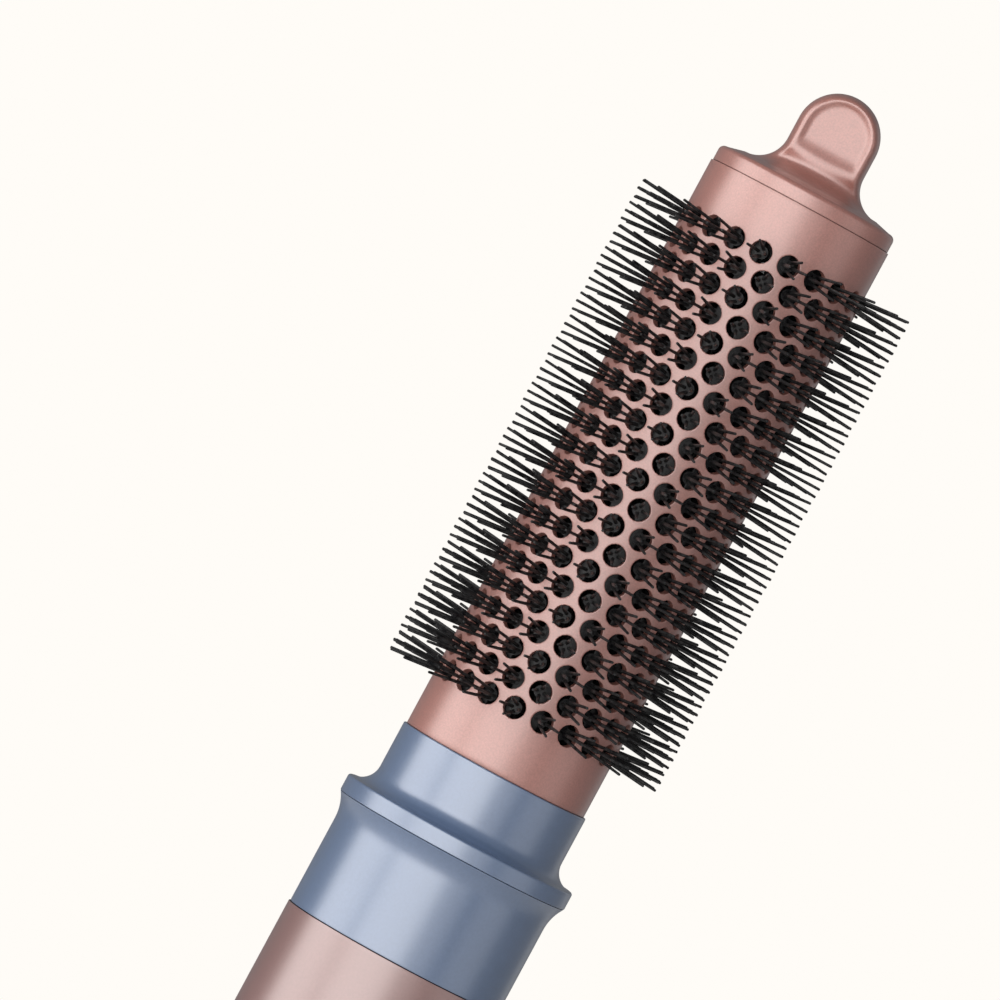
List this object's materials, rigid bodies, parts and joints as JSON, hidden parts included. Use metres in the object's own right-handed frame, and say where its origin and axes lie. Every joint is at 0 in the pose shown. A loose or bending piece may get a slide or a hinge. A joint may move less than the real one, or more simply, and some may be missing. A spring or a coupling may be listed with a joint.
{
  "type": "hot air brush",
  "caption": "Round hot air styling brush: a ventilated barrel with rows of tufted bristles and a finger tab on its tip, held by a twist lock on a straight blower handle.",
  "frame": {"origin": "on the axis, at the lowest face of the cord gland at the handle's end", "axes": "+Z along the axis from the cord end to the brush tip, -Y out of the handle's control panel"},
  "size_m": [0.051, 0.051, 0.3925],
  "materials": {
    "handle_pink": "satin metallic paint",
    "collar_blue": "satin metallic paint",
    "barrel_rose": "fine speckled metallic coating",
    "cap_rose": "fine speckled metallic coating",
    "bristle_nylon": "satin",
    "core_plastic": "matt",
    "chassis_plastic": "matt",
    "spigot_plastic": "matt, glass filled",
    "motor_alloy": "satin",
    "motor_steel": "satin",
    "impeller_plastic": "matt",
    "circuit_board": "satin",
    "heater_mica": "matt",
    "heater_wire": "satin",
    "rubber_black": "matt",
    "bezel_gloss": "gloss",
    "key_plastic": "satin",
    "lamp_lens": "clear white",
    "cage_blue": "satin metallic paint",
    "filter_steel": "woven",
    "screw_steel": "satin"
  },
  "bodies": {
    "handle": {"handle_sleeve": "handle_pink", "chassis_front": "chassis_plastic", "chassis_rear": "chassis_plastic", "nozzle_spigot": "spigot_plastic", "outlet_grille": "motor_steel", "heater_tube": "heater_mica", "heater_frame": "heater_mica", "heater_coil": "heater_wire", "thermal_fuse": "motor_steel", "motor_housing": "motor_alloy", "motor_mounts": "rubber_black", "motor_stator": "motor_steel", "motor_bearings": "motor_steel", "main_circuit_board": "circuit_board", "control_board": "circuit_board", "key_switches": "chassis_plastic", "control_bezel": "bezel_gloss", "indicator_lenses": "lamp_lens", "inlet_tube": "chassis_plastic"},
    "rotor": {"motor_shaft": "motor_steel", "rotor_magnet": "motor_steel", "impeller": "impeller_plastic"},
    "power_slider": {"power_slider": "key_plastic"},
    "heat_button": {"heat_button": "key_plastic"},
    "speed_button": {"speed_button": "key_plastic"},
    "cool_shot_button": {"cool_shot_button": "key_plastic"},
    "filter_cage": {"filter_cage": "cage_blue", "filter_mesh": "filter_steel"},
    "cord_gland": {"cord_gland": "rubber_black", "gland_clip": "screw_steel"},
    "lock_sleeve": {"lock_sleeve": "collar_blue"},
    "brush": {"collar_neck": "collar_blue", "socket_seal": "rubber_black", "brush_barrel": "barrel_rose", "bristle_core": "core_plastic", "lower_strip_ring": "core_plastic", "upper_strip_ring": "core_plastic", "core_end_plug": "core_plastic", "cool_tip_cap": "cap_rose", "tip_screw": "screw_steel", "bristle_strip_01": "bristle_nylon", "bristle_strip_02": "bristle_nylon", "bristle_strip_03": "bristle_nylon", "bristle_strip_04": "bristle_nylon", "bristle_strip_05": "bristle_nylon", "bristle_strip_06": "bristle_nylon", "bristle_strip_07": "bristle_nylon", "bristle_strip_08": "bristle_nylon", "bristle_strip_09": "bristle_nylon", "bristle_strip_10": "bristle_nylon", "bristle_strip_11": "bristle_nylon", "bristle_strip_12": "bristle_nylon", "bristle_strip_13": "bristle_nylon", "bristle_strip_14": "bristle_nylon", "bristle_strip_15": "bristle_nylon", "bristle_strip_16": "bristle_nylon", "bristle_strip_17": "bristle_nylon", "bristle_strip_18": "bristle_nylon", "bristle_strip_19": "bristle_nylon", "bristle_strip_20": "bristle_nylon"}
  },
  "joints": [
    {"name": "brush_pull", "type": "slide", "parent": "handle", "child": "brush", "axis": [0, 0, 1], "range_m": [0, 0.04]},
    {"name": "lock_twist", "type": "hinge", "parent": "brush", "child": "lock_sleeve", "pos_m": [0, 0, 0.24], "axis": [0, 0, 1], "range_deg": [0, 30]},
    {"name": "impeller_spin", "type": "hinge", "parent": "handle", "child": "rotor", "pos_m": [0, 0, 0.075], "axis": [0, 0, 1], "continuous": true},
    {"name": "power_slide", "type": "slide", "parent": "handle", "child": "power_slider", "axis": [0, 0, 1], "range_m": [0, 0.006]},
    {"name": "heat_press", "type": "slide", "parent": "handle", "child": "heat_button", "axis": [0, 1, 0], "range_m": [0, 0.0008], "stiffness_N_per_m": 400, "springref_m": -0.0005},
    {"name": "speed_press", "type": "slide", "parent": "handle", "child": "speed_button", "axis": [0, 1, 0], "range_m": [0, 0.0008], "stiffness_N_per_m": 400, "springref_m": -0.0005},
    {"name": "cool_shot_press", "type": "slide", "parent": "handle", "child": "cool_shot_button", "axis": [0, 1, 0], "range_m": [0, 0.0008], "stiffness_N_per_m": 400, "springref_m": -0.0005},
    {"name": "filter_cage_pull", "type": "slide", "parent": "handle", "child": "filter_cage", "axis": [0, 0, -1], "range_m": [0, 0.05]},
    {"name": "cord_swivel", "type": "hinge", "parent": "handle", "child": "cord_gland", "pos_m": [0, 0, 0.008], "axis": [0, 0, 1], "continuous": true}
  ]
}
